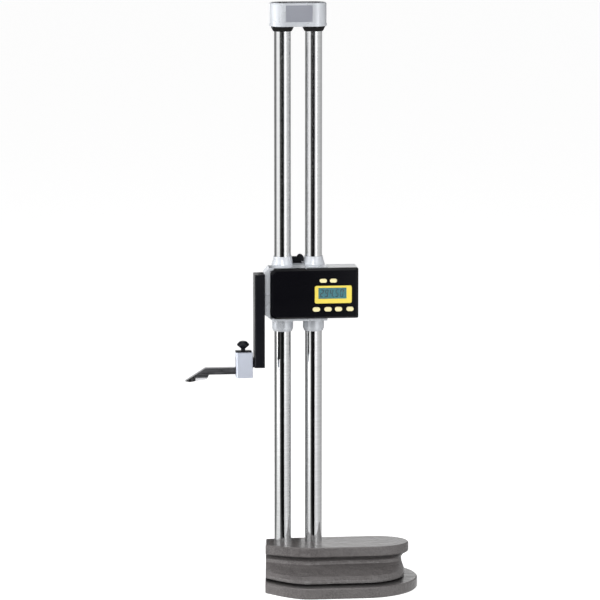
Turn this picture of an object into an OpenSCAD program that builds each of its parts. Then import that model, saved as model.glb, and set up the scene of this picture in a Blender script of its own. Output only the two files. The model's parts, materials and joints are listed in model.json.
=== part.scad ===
/* [Columns] */
// Diameter of each column
column_d = 23.5; // [22:0.5:26]
// Distance between the two column axes
column_pitch = 43; // [42.5:0.5:50]
// Length of the columns that shows between base and cap
column_free = 720.5; // [560:0.5:900]
// Height of the scriber tip above the surface, as shown
rest_height = 294.5; // [20:0.5:400]

/* [Base] */
// Height of the base casting
base_h = 60; // [55:1:80]
// Reach of the base to the left of the column midpoint
base_left = 43.5; // [41:0.5:60]
// Reach of the base to the right of the column midpoint
base_right = 163.5; // [140:0.5:220]
// Width of the foot flange from front to back
foot_depth = 151; // [120:1:180]
// Width of the top flange from front to back
top_depth = 69; // [66:1:90]
// Thickness of the foot flange
foot_t = 15; // [10:0.5:18]
// Thickness of the top flange
top_t = 14; // [10:0.5:18]

/* [Top cap] */
// Height of the top cap
cap_h = 32; // [28:0.5:50]
// Radius of the cap's round ends
cap_end_r = 17.6; // [16:0.1:24]
// Height of the rubber bump stops
stop_h = 7; // [4:0.5:10]

/* [Slider] */
// Height of the slider block
block_h = 74.5; // [72:0.5:90]
// Reach of the slider block to the left
block_left = 50.1; // [46:0.1:60]
// Reach of the slider block to the right
block_right = 37; // [36.5:0.5:45]
// Depth of the slider block in front of the column axes
block_front = 36; // [34:0.5:50]
// Depth of the slider block behind the column axes
block_back = 22; // [20:0.5:36]
// Length of the lower collars
collar_h = 18.8; // [8:0.1:24]
// Height of the upper conical collars
neck_h = 11; // [9:0.5:20]

/* [Display] */
// Width of the display housing to the right of the slider block
housing_w = 42.1; // [38:0.1:60]
// Height of the front panel
panel_h = 70; // [68:0.5:84]
// Thickness of the front panel
panel_t = 9; // [8:0.5:12]
// Depth of the display housing behind the panel
housing_d = 29; // [28:0.5:50]
// Width of the display window
lcd_w = 39; // [30:0.5:42]
// Height of the display window
lcd_h = 15.3; // [10:0.1:18]

/* [Scriber] */
// Side of the square scriber bar
scriber_s = 9; // [8:0.5:10]
// Reach of the scriber tip to the left of the column midpoint
scriber_reach = 159.6; // [135:0.1:200]
// Width of the scriber arm
arm_w = 14.1; // [10:0.1:18]
// Depth of the scriber arm from front to back
arm_d = 26; // [22:0.5:32]

/* [Drive] */
// Module of the rack and the pinions
gear_m = 1; // [1]
// Diameter of the feed handwheel
wheel_d = 44; // [36:1:48]

/* [Hidden] */
$fn = 64;
cut = 1;
seat_gap = 0.1;
free_gap = 0.35;
running_gap = 0.05;

// Places of the columns and of the slider
col_r = column_d / 2;
col_x = column_pitch / 2;
sides = [-1, 1];
cap_z = base_h + column_free;
scriber_drop = 82.5;
slider_z = rest_height + scriber_drop;
bore_r = col_r + free_gap;

// Puts a piece in the slider's own frame, whose zero is the underside of the block
module on_slider() {
    translate([0, 0, slider_z]) children();
}

// Extrudes an outline drawn in x and z from the front place y0 to the back place y1
module across(y0, y1) {
    translate([0, y1, 0]) rotate([90, 0, 0]) linear_extrude(y1 - y0) children();
}

// A rod along y, from the front place y0 to the back place y1
module rod_y(r, y0, y1) {
    translate([0, y1, 0]) rotate([90, 0, 0]) cylinder(r = r, h = y1 - y0);
}

// A rod along x, from x0 to x1
module rod_x(r, x0, x1) {
    translate([x0, 0, 0]) rotate([0, 90, 0]) cylinder(r = r, h = x1 - x0);
}

// A block given by its lowest and highest corners
module block(lo, hi) {
    translate(lo) cube(hi - lo);
}

// A flat outline with two round ends, w wide and h high, about its centre
module slot_outline(w, h) {
    square([w - h, h], center = true);
    for (s = sides) translate([s * (w - h) / 2, 0]) circle(d = h);
}

// A flat rectangle with its four corners cut at 45 degrees
module chamfered(w, h, c) {
    polygon([[c, 0], [w - c, 0], [w, c], [w, h - c], [w - c, h], [c, h], [0, h - c], [0, c]]);
}

// A rectangle about its centre with round corners of radius r
module round_rect(w, h, r) {
    square([w - 2 * r, h], center = true);
    square([w, h - 2 * r], center = true);
    for (sx = sides, sy = sides) translate([sx * (w / 2 - r), sy * (h / 2 - r)]) circle(r);
}

// Base casting: rings of points from the ground foot up to the top flange
foot_front = -105.5;
top_front = -52;
foot_left_front = -63;
foot_left_back = 20;
top_left_front = -26;
top_left_back = 13.5;
end_centre_foot = 84;
end_centre_top = 104;
left_slant_share = 0.105;
waist_left_in = 0.3;
foot_shoulder_x = 8;
top_shoulder_x = 22;
top_end_in = 10.4;
edge_r = 1.5;
waist_in = 10;
grip_in = 8;
grip_x0 = 2;
grip_x1 = 138;
arc_n = 28;
side_n = 8;
socket_depth = 36;
socket_z = base_h - socket_depth;
boss_wall = 4.2;
boss_r = col_r + boss_wall;
bolt_r = 5;
bolt_head_r = 8;
bolt_head_h = 8;
bolt_clear = 0.5;
bolt_clear_r = bolt_r + bolt_clear;
head_clear = 2;
head_pocket_r = bolt_head_r + head_clear;
washer_out = 1;
washer_r = bolt_head_r + washer_out;
washer_t = 2;
head_sunk = 3;
head_pocket_h = bolt_head_h + washer_t + head_sunk;
bolt_engage = 20;

// Place in x of the slanted left end at the place y, drawn in by e
function left_x(y, e) = e - base_left - left_slant_share * (foot_left_back - y);

// Outline of a flange: a round right end, long sides and shoulders to a flat left end, drawn in
// there by e. front and back are its sides in y, left_front and left_back its left corners
function flange(e, front, back, left_front, left_back, shoulder, centre_x, right) = concat(
    [for (i = [0 : arc_n]) let (a = -90 + 180 * i / arc_n)
        [centre_x + (right - centre_x) * cos(a), (front + back) / 2 + (back - front) / 2 * sin(a)]],
    [for (i = [0 : side_n]) let (t = i / side_n, x = left_x(left_back, e))
        [shoulder + (x - shoulder) * t, back + (left_back - back) * (1 - cos(90 * t))]],
    [for (i = [side_n : -1 : 0]) let (t = i / side_n, x = left_x(left_front, e))
        [shoulder + (x - shoulder) * t, front + (left_front - front) * (1 - cos(90 * t))]]
);

// The foot outline, drawn in by d and at its left end by e
function foot_ring(d, e) = flange(e, foot_front + d, foot_front + foot_depth - d,
    foot_left_front + d, foot_left_back - d, foot_shoulder_x, end_centre_foot, base_right - d);

// The top outline, drawn in by d and at its left end by e
function top_ring(d, e) = flange(e, top_front + d, top_front + top_depth - d,
    top_left_front + d, top_left_back - d, top_shoulder_x, end_centre_top, base_right - top_end_in - d);

// The top outline drawn in by d and hollowed for the fingers by the share g of grip_in
top_mid = top_front + top_depth / 2;
function waist_ring(d, g) = [for (p = top_ring(d, waist_left_in))
    let (t = (p[0] - grip_x0) / (grip_x1 - grip_x0), inside = t > 0 && t < 1)
    inside
        ? [p[0], p[1] - sign(p[1] - top_mid) * min(abs(p[1] - top_mid), grip_in * g * pow(sin(180 * t), 2))]
        : p];

// Each row: share of the waist's height, share of the way out to the foot, share of the draw-in
// and share of the finger hollow
waist_shares = [
    [0.08, 1, 0.6, 0], [0.22, 0.96, 0.75, 0.2], [0.34, 0.82, 0.9, 0.5], [0.44, 0.53, 1, 0.8],
    [0.53, 0.23, 1, 1], [0.62, 0.06, 1, 1], [0.76, 0, 1, 0.9], [0.88, 0, 0.75, 0.6], [0.96, 0, 0.45, 0.25]
];
crease_share = 0.03;
crease_in = 23;
body_in = 18;
body_foot = foot_ring(body_in, waist_left_in);
function body_ring(w) = let (inner = waist_ring(w[2] * waist_in, w[3]))
    [for (i = [0 : len(inner) - 1]) inner[i] + w[1] * (body_foot[i] - inner[i])];

waist_h = base_h - foot_t - top_t;
base_levels = concat(
    [
        [0, foot_ring(edge_r, edge_r)],
        [edge_r, foot_ring(0, 0)],
        [foot_t - edge_r, foot_ring(0, 0)],
        [foot_t, foot_ring(edge_r, waist_left_in)],
        [foot_t + crease_share * waist_h, foot_ring(crease_in, waist_left_in)]
    ],
    [for (w = waist_shares) [foot_t + w[0] * waist_h, body_ring(w)]],
    [
        [base_h - top_t, top_ring(edge_r, edge_r)],
        [base_h - top_t + edge_r, top_ring(0, 0)],
        [base_h - edge_r, top_ring(0, 0)],
        [base_h, top_ring(edge_r, edge_r)]
    ]
);

// A closed solid through a stack of rings that have equally many points
module stack(levels) {
    n = len(levels[0][1]);
    rows = len(levels);
    points = [for (l = levels) for (p = l[1]) [p[0], p[1], l[0]]];
    walls = [for (k = [0 : rows - 2]) for (i = [0 : n - 1]) let (j = (i + 1) % n)
        each [[k * n + i, (k + 1) * n + i, (k + 1) * n + j], [k * n + i, (k + 1) * n + j, k * n + j]]];
    floor_face = [[for (i = [0 : n - 1]) i]];
    roof_face = [[for (i = [n - 1 : -1 : 0]) (rows - 1) * n + i]];
    polyhedron(points, concat(walls, floor_face, roof_face));
}

module base_casting() {
    color("dimgray") difference() {
        union() {
            stack(base_levels);
            for (s = sides) translate([s * col_x, 0, foot_t / 2])
                cylinder(r = boss_r, h = base_h - top_t / 2 - foot_t / 2);
        }
        for (s = sides) translate([s * col_x, 0, 0]) {
            translate([0, 0, socket_z]) cylinder(r = col_r + running_gap, h = socket_depth + cut);
            translate([0, 0, -cut]) cylinder(r = bolt_clear_r, h = base_h);
            translate([0, 0, -cut]) cylinder(r = head_pocket_r, h = head_pocket_h + cut);
        }
    }
}

// Columns: chromed steel, the left one slotted on its inner side for the rack
cap_socket_depth = 22;
column_len = socket_depth + column_free + cap_socket_depth;
tap_r = bolt_r + seat_gap;
tap_depth = 24;
gear_addendum = gear_m;
root_share = 1.25;
gear_root = root_share * gear_m;
rack_w = 6;
rack_back_t = 3.5;
rack_inset = 1.5;
rack_x = col_r - rack_inset - col_x;
rack_root_x = rack_x - gear_root;
rack_end = 28;
rack_z0 = base_h + rack_end;
rack_z1 = cap_z - rack_end;
rack_back_x = rack_x - gear_root - rack_back_t;
cap_screw_r = 4;
cap_screw_head_r = 7;
cap_screw_head_h = 4;
cap_tap_depth = 20;
rack_screw_r = 1.5;
rack_screw_head_r = 2.6;
rack_screw_head_h = 1.6;
rack_screw_len = 6;
rack_screw_shares = [0.03, 0.35, 0.65, 0.97];
rack_screw_z = [for (q = rack_screw_shares) rack_z0 + q * (rack_z1 - rack_z0)];

module column(s) {
    color("gainsboro") difference() {
        translate([s * col_x, 0, socket_z]) cylinder(r = col_r, h = column_len);
        translate([s * col_x, 0, socket_z - cut]) cylinder(r = tap_r, h = tap_depth + cut);
        translate([s * col_x, 0, cap_z + cap_socket_depth - cap_tap_depth])
            cylinder(r = cap_screw_r + seat_gap, h = cap_tap_depth + cut);
        children();
    }
}

module column_left() {
    column(-1) {
        block([rack_back_x - seat_gap, -rack_w / 2 - seat_gap, rack_z0 - seat_gap],
            [0, rack_w / 2 + seat_gap, rack_z1 + seat_gap]);
        for (z = rack_screw_z) translate([0, 0, z])
            rod_x(rack_screw_r + seat_gap, rack_back_x - rack_screw_len, rack_x);
    }
}

module column_right() {
    column(1);
}

// Rack: straight-sided teeth that face right, one of them level with the feed pinion
pressure_angle = 20;
tooth_pitch = PI * gear_m;
backlash_share = 0.12;
backlash = backlash_share * gear_m;
feed_dz = 22;
feed_z = slider_z + feed_dz;
tooth_k0 = ceil((rack_z0 + gear_m - feed_z) / tooth_pitch);
tooth_k1 = floor((rack_z1 - gear_m - feed_z) / tooth_pitch);

// Half the thickness of a rack tooth at the height h above its pitch line
function rack_half(h) = tooth_pitch / 4 - backlash / 2 - h * tan(pressure_angle);

rack_line = concat(
    [[rack_back_x, rack_z0], [rack_x - gear_root, rack_z0]],
    [for (k = [tooth_k0 : tooth_k1]) let (z = feed_z + k * tooth_pitch) each [
        [rack_x - gear_root, z - rack_half(-gear_root)],
        [rack_x + gear_addendum, z - rack_half(gear_addendum)],
        [rack_x + gear_addendum, z + rack_half(gear_addendum)],
        [rack_x - gear_root, z + rack_half(-gear_root)]
    ]],
    [[rack_x - gear_root, rack_z1], [rack_back_x, rack_z1]]
);

module rack() {
    color("slategray") difference() {
        across(-rack_w / 2, rack_w / 2) polygon(rack_line);
        for (z = rack_screw_z) translate([0, 0, z]) {
            rod_x(rack_screw_r + seat_gap, rack_back_x - cut, rack_x);
            rod_x(rack_screw_head_r + seat_gap, rack_root_x - rack_screw_head_h, rack_x + cut + gear_m);
        }
    }
}

module rack_screws() {
    color("silver") for (z = rack_screw_z) translate([0, 0, z]) {
        rod_x(rack_screw_head_r, rack_root_x - rack_screw_head_h, rack_x - gear_root);
        rod_x(rack_screw_r, rack_back_x - rack_screw_len + seat_gap, rack_root_x - rack_screw_head_h);
    }
}

// Bolts that pull the columns down into the base, with their washers
hex_r = 4.6;
hex_depth_share = 0.55;

module column_bolts() {
    color("dimgray") for (s = sides) translate([s * col_x, 0, head_pocket_h - washer_t]) difference() {
        union() {
            translate([0, 0, -bolt_head_h]) cylinder(r = bolt_head_r, h = bolt_head_h);
            cylinder(r = bolt_r, h = socket_z - head_pocket_h + washer_t + bolt_engage);
        }
        translate([0, 0, -bolt_head_h - cut])
            cylinder(r = hex_r, h = cut + hex_depth_share * bolt_head_h, $fn = 6);
    }
}

module column_washers() {
    color("silver") for (s = sides) translate([s * col_x, 0, head_pocket_h - washer_t]) difference() {
        cylinder(r = washer_r, h = washer_t);
        translate([0, 0, -cut]) cylinder(r = bolt_r + seat_gap, h = washer_t + 2 * cut);
    }
}

// Top cap: a block with round ends over both columns, with a bright lower edge and a front rib
cap_top_z = cap_z + cap_h;
cap_rim_h = 3.4;
cap_rim_out = 0.5;
cap_chamfer = 1.2;
cap_rib_w = 12;
cap_rib_out = 1.6;
cap_rib_h = 4.5;
plate_w = 36.5;
plate_h = 22.5;
plate_t = 1.2;
plate_proud = 0.4;
plate_x = -0.2;
plate_dz = 6.5;
cap_hex_r = 2.9;
cap_screw_reach = cap_h - cap_socket_depth + cap_tap_depth;

// A stadium prism round both column axes
module stadium(r, h) {
    for (s = sides) translate([s * col_x, 0, 0]) cylinder(r = r, h = h);
    block([-col_x, -r, 0], [col_x, r, h]);
}

module top_cap() {
    color("silver") difference() {
        union() {
            translate([0, 0, cap_z]) stadium(cap_end_r + cap_rim_out, cap_rim_h);
            translate([0, 0, cap_z]) stadium(cap_end_r, cap_h - cap_chamfer);
            translate([0, 0, cap_z]) stadium(cap_end_r - cap_chamfer, cap_h);
            block([-cap_rib_w / 2, -cap_end_r - cap_rib_out, cap_z], [cap_rib_w / 2, 0, cap_z + cap_rib_h]);
        }
        for (s = sides) translate([s * col_x, 0, 0]) {
            translate([0, 0, cap_z - cut]) cylinder(r = col_r + running_gap, h = cap_socket_depth + cut);
            translate([0, 0, cap_z]) cylinder(r = cap_screw_r + seat_gap, h = cap_h + cut);
            translate([0, 0, cap_top_z - cap_screw_head_h])
                cylinder(r = cap_screw_head_r + seat_gap, h = cap_h);
        }
        block([plate_x - plate_w / 2 - seat_gap, -cap_end_r - cut, cap_z + plate_dz - seat_gap],
            [plate_x + plate_w / 2 + seat_gap, plate_t - cap_end_r, cap_z + plate_dz + plate_h + seat_gap]);
    }
}

module cap_plate() {
    color("darkgray") block([plate_x - plate_w / 2, -cap_end_r - plate_proud, cap_z + plate_dz],
        [plate_x + plate_w / 2, -cap_end_r + plate_t, cap_z + plate_dz + plate_h]);
}

module cap_screws() {
    color("silver") for (s = sides) translate([s * col_x, 0, cap_top_z]) difference() {
        union() {
            translate([0, 0, -cap_screw_head_h]) cylinder(r = cap_screw_head_r, h = cap_screw_head_h);
            translate([0, 0, cap_screw_head_h - cap_screw_reach])
                cylinder(r = cap_screw_r, h = cap_screw_reach - 2 * cap_screw_head_h);
        }
        translate([0, 0, -cap_screw_head_h / 2]) cylinder(r = cap_hex_r, h = cap_screw_head_h, $fn = 6);
    }
}

// Rubber bump stops: cones under the cap, one round each column
stop_in = 1.2;
stop_wall = 1.2;
stop_bore_r = col_r + seat_gap;
stop_top_r = cap_end_r - stop_in;
stop_low_r = col_r + stop_wall;

module bump_stops() {
    color("black") for (s = sides) translate([s * col_x, 0, cap_z]) rotate_extrude()
        polygon([[stop_bore_r, -stop_h], [stop_low_r, -stop_h], [stop_top_r, 0], [stop_bore_r, 0]]);
}

// Slider casting: a block round both columns, with collars, pinion chambers and a front hollow
bush_h = 8;
bush_wall = 2;
bush_r = col_r + bush_wall;
bush_seat_r = bush_r + running_gap;
bush_in = 1;
wiper_h = 3;
wiper_wall = 0.9;
wiper_r = col_r + wiper_wall;
wiper_up = 0.5;
collar_wall = 2.85;
collar_r = col_r + collar_wall;
body_r = block_right - col_x;
neck_mid_wall = 1.65;
neck_mid_r = col_r + neck_mid_wall;
neck_top_wall = 0.95;
neck_top_r = col_r + neck_top_wall;
neck_mid_share = 0.62;
plate_back = -12;
chamber_share = 1.18;
teeth = 16;
pitch_r = teeth * gear_m / 2;
pinion_x = rack_x + pitch_r;
chamber_r = chamber_share * pitch_r;
chamber_half = 3.2;
shaft_r = 3;
encoder_steps = 7;
encoder_dz = feed_dz + encoder_steps * tooth_pitch;
clamp_under = 12.5;
clamp_dz = block_h - clamp_under;
clamp_x = 1.5;
clamp_r = 3.5;
hollow_wall = 4;
floor_y = -bore_r - hollow_wall;
bush_z = [bush_in, block_h - bush_h - bush_in];
wiper_z = [-collar_h, block_h + wiper_up];
chin_w = 12;
chin_h = 9.5;
shoulder = 6.5;
channel_half = 8.6;
channel_front = 10;
view_half = 7.2;
view_y0 = 5;
view_d = 5;
belly_angle = -40;
belly_half = 9;
belly_d = 12;
belly_h = 8;
collar_round_w = 1.5;
collar_round_h = 4;

module casting_block() {
    difference() {
        union() {
            across(-block_front, plate_back) polygon([
                [-block_left, chin_h], [-block_left + chin_w, 0], [block_right, 0], [block_right, block_h],
                [-block_left + shoulder, block_h], [-block_left, block_h - shoulder]
            ]);
            stadium(body_r, block_h);
            across(0, block_back) polygon([
                [-col_x, 0], [col_x, 0], [col_x, block_h], [-col_x, block_h]
            ]);
            for (s = sides) translate([s * col_x, 0, 0]) {
                translate([0, 0, -collar_h])
                    cylinder(r1 = collar_r - collar_round_w, r2 = collar_r, h = collar_round_h);
                translate([0, 0, collar_round_h - collar_h])
                    cylinder(r = collar_r, h = collar_h - collar_round_h + cut);
                translate([0, 0, block_h]) rotate_extrude() polygon([
                    [0, -cut], [body_r, -cut], [body_r, 0], [neck_mid_r, neck_mid_share * neck_h],
                    [neck_top_r, neck_h], [0, neck_h]
                ]);
            }
        }
        for (s = sides) translate([s * col_x, 0, 0]) {
            translate([0, 0, -collar_h - cut])
                cylinder(r = bore_r, h = collar_h + block_h + neck_h + 2 * cut);
            for (z = bush_z) translate([0, 0, z]) cylinder(r = bush_seat_r, h = bush_h);
            for (z = wiper_z) translate([0, 0, z]) cylinder(r = wiper_r + running_gap, h = wiper_h);
        }
        translate([pinion_x, 0, feed_dz]) rod_y(chamber_r, -chamber_half, block_back + cut);
        translate([pinion_x, 0, encoder_dz]) rod_y(chamber_r, floor_y - cut, chamber_half);
        translate([pinion_x, 0, feed_dz]) rod_y(shaft_r + running_gap, -chamber_half - shaft_seat, 0);
        translate([pinion_x, 0, encoder_dz]) rod_y(shaft_r + running_gap, 0, chamber_half + shaft_seat);
        translate([clamp_x, 0, clamp_dz]) {
            rod_y(clamp_r + seat_gap, -2 * clamp_r, block_back);
            rod_y(clamp_bush_r, clamp_bush_y0, block_back + cut);
        }
        translate([0, 0, clamp_dz]) rod_x(shoe_r + seat_gap, clamp_x, col_x);
        block([-block_left + 2 * hollow_wall, -block_front - cut, hollow_wall],
            [block_right - hollow_wall, floor_y, block_h - hollow_wall]);
        block([0, -block_front - cut, hollow_wall],
            [block_right + cut, board_y1 + 2 * cut, block_h - hollow_wall]);
        for (z = arm_screw_z) translate([0, arm_y, z])
            rod_x(arm_screw_r + seat_gap, -block_left - cut, -block_left + arm_screw_in);
        for (z = housing_screw_z) translate([0, housing_screw_y, z])
            rod_x(housing_screw_r + seat_gap, block_right - 2 * hollow_wall, block_right + cut);
        block([-channel_half, -channel_front, block_h],
            [channel_half, block_back + cut, block_h + neck_h + cut]);
        block([-view_half, view_y0, block_h - view_d], [view_half, block_back + cut, block_h + cut]);
        translate([0, -block_front, 0]) rotate([belly_angle, 0, 0])
            block([-belly_half, -belly_d, -belly_h], [belly_half, belly_d, 0]);
    }
}

module slider_casting() {
    color("silver") on_slider() {
        casting_block();
        for (q = board_screw_places) translate([q[0], 0, q[1]]) difference() {
            rod_y(board_post_r, board_y1, floor_y + cut);
            rod_y(board_screw_r + seat_gap, board_y1 - cut, board_y0 + board_screw_len + cut);
        }
    }
}

module guide_bushes() {
    color("goldenrod") on_slider() for (s = sides, z = bush_z)
        translate([s * col_x, 0, z]) difference() {
            cylinder(r = bush_r, h = bush_h);
            translate([0, 0, -cut]) cylinder(r = col_r + running_gap, h = bush_h + 2 * cut);
        }
}

module wiper_rings() {
    color("black") on_slider()
        for (s = sides, z = wiper_z) translate([s * col_x, 0, z]) difference() {
            cylinder(r = wiper_r, h = wiper_h);
            translate([0, 0, -cut]) cylinder(r = bore_r, h = wiper_h + 2 * cut);
        }
}

// Front panel: a black bezel with a window recess and a hole for each key
panel_left_in = 7.5;
panel_x0 = panel_left_in - block_left;
housing_x1 = block_right + housing_w;
panel_w = housing_x1 - panel_x0;
panel_dz = 4;
panel_y1 = -block_front;
panel_y0 = panel_y1 - panel_t;
panel_edge_t = 5;
panel_edge_y = panel_y1 - panel_edge_t;
panel_bevel = 3;
panel_corner = 6.5;
panel_right_corner = 1.5;
lcd_share = [0.702, 0.506];
lcd_x = panel_x0 + lcd_share[0] * panel_w;
lcd_z = panel_dz + lcd_share[1] * panel_h;
frame_right = 1.1;
frame_x = lcd_x + frame_right;
frame_down = 1.7;
frame_z = lcd_z - frame_down;
frame_margin_w = 12;
frame_margin_h = 9;
frame_w = lcd_w + frame_margin_w;
frame_h = lcd_h + frame_margin_h;
frame_corner = 2.4;
frame_t = 2;
frame_proud = 0.4;
window_t = 1.2;
key_clear = 0.25;
top_key = [9.8, 5.2];
low_key = [10, 6];
top_key_shares = [0.597, 0.712];
top_key_x = [for (q = top_key_shares) panel_x0 + q * panel_w];
low_key_shares = [0.519, 0.651, 0.77, 0.901];
low_key_x = [for (q = low_key_shares) panel_x0 + q * panel_w];
key_row_shares = [0.191, 0.757];
low_key_z = panel_dz + key_row_shares[0] * panel_h;
top_key_z = panel_dz + key_row_shares[1] * panel_h;
panel_back_wall = 1.5;
pocket_in = 4.5;
notch_share = 0.408;
notch_x = panel_x0 + notch_share * panel_w;
notch_w = 5;
notch_d = 2.2;

// The places and sizes of all six keys: x, z, width, height
key_table = concat(
    [for (x = top_key_x) [x, top_key_z, top_key[0], top_key[1]]],
    [for (x = low_key_x) [x, low_key_z, low_key[0], low_key[1]]]
);

// The outline of the panel, drawn in by d
module panel_outline(d) {
    c = panel_corner - d / 2;
    e = panel_right_corner;
    polygon([
        [panel_x0 + d + c, panel_dz + d], [housing_x1 - d - e, panel_dz + d],
        [housing_x1 - d, panel_dz + d + e], [housing_x1 - d, panel_dz + panel_h - d - e],
        [housing_x1 - d - e, panel_dz + panel_h - d], [panel_x0 + d + c, panel_dz + panel_h - d],
        [panel_x0 + d, panel_dz + panel_h - d - c], [panel_x0 + d, panel_dz + d + c]
    ]);
}

module front_panel() {
    color("#202020") on_slider() difference() {
        union() {
            across(panel_edge_y, panel_y1) panel_outline(0);
            hull() {
                across(panel_edge_y, panel_edge_y + edge_r) panel_outline(0);
                across(panel_y0, panel_y0 + edge_r) panel_outline(panel_bevel);
            }
        }
        across(panel_y0 - cut, panel_y0 + frame_t) translate([frame_x, frame_z])
            round_rect(frame_w + 2 * seat_gap, frame_h + 2 * seat_gap, frame_corner);
        across(panel_y0, panel_y1 + cut) translate([lcd_x, lcd_z])
            square([lcd_w + 2 * seat_gap, lcd_h + 2 * seat_gap], center = true);
        block([panel_x0 + 2 * panel_corner, panel_y1 - panel_back_wall, panel_dz + panel_corner],
            [housing_x1 - pocket_in, panel_y1 + cut, panel_dz + panel_h - panel_corner]);
        for (k = key_table) across(panel_y0 - cut, panel_y1 + cut) translate([k[0], k[1]])
            slot_outline(k[2] + 2 * key_clear, k[3] + 2 * key_clear);
        across(panel_y0 - cut, panel_y1 + cut) polygon([
            [notch_x - notch_w / 2, panel_dz + panel_h + cut], [notch_x, panel_dz + panel_h - notch_d],
            [notch_x + notch_w / 2, panel_dz + panel_h + cut]
        ]);
    }
}

module lcd_frame() {
    color("gold") on_slider() difference() {
        across(panel_y0 - frame_proud, panel_y0 + frame_t) translate([frame_x, frame_z])
            round_rect(frame_w, frame_h, frame_corner);
        across(panel_y0 - cut, panel_y0 + frame_t + cut) translate([lcd_x, lcd_z])
            square([lcd_w, lcd_h], center = true);
    }
}

module lcd_window() {
    color("teal", 0.5) on_slider() across(panel_y0 + frame_t - window_t, panel_y0 + frame_t)
        translate([lcd_x, lcd_z]) square([lcd_w - 2 * seat_gap, lcd_h - 2 * seat_gap], center = true);
}

module lcd_module() {
    color("teal") on_slider() across(panel_y0 + frame_t + seat_gap, board_y0)
        translate([lcd_x, lcd_z]) square([lcd_w - 2 * seat_gap, lcd_h - 2 * seat_gap], center = true);
}

// Circuit board, with the rubber key mat in front of it
housing_wall = 2.5;
board_back = 4.5;
board_y0 = panel_y1 + board_back;
board_t = 1.6;
board_y1 = board_y0 + board_t;
board_left_in = 10.6;
board_x0 = panel_x0 + board_left_in;
board_right_in = 7;
board_margin = 2.5;
board_z0 = max(hollow_wall, panel_dz + housing_wall) + board_margin;
board_z1 = min(block_h - hollow_wall, panel_dz + panel_h - housing_wall) - board_margin;
mat_t = 3.7;
mat_over = 4;
key_flange_t = 1.3;
key_flange_out = 1.2;
key_proud = 1.1;

module circuit_board() {
    color("darkgreen") on_slider() difference() {
        block([board_x0, board_y0, board_z0], [housing_x1 - board_right_in, board_y1, board_z1]);
        for (q = board_screw_places) translate([q[0], 0, q[1]])
            rod_y(board_screw_r + seat_gap, board_y0 - cut, board_y1 + cut);
    }
}

board_screw_r = 1;
board_head_r = 1.9;
board_head_h = 1.2;
board_post_r = 2.6;
board_screw_in = 4;
board_screw_places = [for (z = [board_z0 + board_screw_in, board_z1 - board_screw_in])
    [board_x0 + board_screw_in, z]];
board_screw_len = 8;

module board_screws() {
    color("silver") on_slider() for (q = board_screw_places) translate([q[0], 0, q[1]]) {
        rod_y(board_head_r, board_y0 - board_head_h, board_y0);
        rod_y(board_screw_r, board_y0, board_y0 + board_screw_len);
    }
}

// One mat under the upper keys and one under the lower keys, joined beside the display
module key_mat() {
    color("dimgray") on_slider() {
        for (row = [[top_key_x, top_key, top_key_z], [low_key_x, low_key, low_key_z]])
            block([row[0][0] - row[1][0] / 2 - mat_over, board_y0 - mat_t, row[2] - row[1][1]],
                [row[0][len(row[0]) - 1] + row[1][0] / 2 + mat_over, board_y0, row[2] + row[1][1]]);
        block([low_key_x[0] - low_key[0] / 2 - mat_over, board_y0 - mat_t, low_key_z],
            [lcd_x - lcd_w / 2 - seat_gap, board_y0, top_key_z]);
    }
}

// A key: an oval cap that passes through the panel, with a flange behind it
module key(k) {
    color("khaki") on_slider() translate([k[0], 0, k[1]]) {
        across(panel_y0 - key_proud, panel_y1 - panel_back_wall) slot_outline(k[2], k[3]);
        across(panel_y1 - panel_back_wall + seat_gap, panel_y1 - panel_back_wall + seat_gap + key_flange_t)
            slot_outline(k[2] + 2 * key_flange_out, k[3] + 2 * key_flange_out);
        across(panel_y1 - panel_back_wall - seat_gap, panel_y1 - panel_back_wall + 2 * seat_gap)
            slot_outline(k[2], k[3]);
    }
}

module key_top_left() { key(key_table[0]); }
module key_top_right() { key(key_table[1]); }
module key_low_1() { key(key_table[2]); }
module key_low_2() { key(key_table[3]); }
module key_low_3() { key(key_table[4]); }
module key_low_4() { key(key_table[5]); }

// Display housing: a box open at the front, beside the right column
housing_y1 = panel_y1 + housing_d;
housing_screw_back = 14;
housing_screw_y = panel_y1 + housing_screw_back;
housing_screw_in = 11;
housing_screw_z = [board_z0 + housing_screw_in, board_z1 - housing_screw_in];
housing_screw_r = 1.5;
housing_head_r = 2.8;
housing_head_h = 2;
battery_x = (block_right + housing_x1) / 2;
battery_up = 20;
battery_z = panel_dz + battery_up;
battery_r = 10;
battery_h = 3.2;
holder_r = 13.5;
holder_floor = 1.8;
cover_r = 11.8;
cover_t = 3.3;
coin_slot_w = 1.8;
coin_slot_d = 1.2;
coin_slot_share = 0.7;
port_up = 50;
port_z = panel_dz + port_up;
port_w = 14;
port_h = 7;
port_d = 9;
port_cover_w = 20;
port_cover_h = 13;
port_cover_t = 1.6;

module display_housing() {
    color("lightgray") on_slider() difference() {
        across(panel_y1, housing_y1)
            translate([block_right, panel_dz]) chamfered(housing_x1 - block_right, panel_h, edge_r);
        block([block_right + housing_wall, panel_y1 - cut, panel_dz + housing_wall],
            [housing_x1 - housing_wall, housing_y1 - housing_wall, panel_dz + panel_h - housing_wall]);
        block([block_right - cut, panel_y1 - cut, panel_dz + hollow_wall],
            [block_right + housing_wall + cut, board_y1 + 2 * cut, panel_dz + panel_h - hollow_wall]);
        translate([battery_x, 0, battery_z]) rod_y(cover_r + seat_gap, holder_y1 - cut, housing_y1 + cut);
        block([battery_x - port_w / 2 - seat_gap, holder_y1 - cut, port_z - port_h / 2 - seat_gap],
            [battery_x + port_w / 2 + seat_gap, housing_y1 + cut, port_z + port_h / 2 + seat_gap]);
        for (z = housing_screw_z) translate([0, housing_screw_y, z])
            rod_x(housing_screw_r + seat_gap, block_right - cut, block_right + housing_wall + cut);
    }
}

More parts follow.
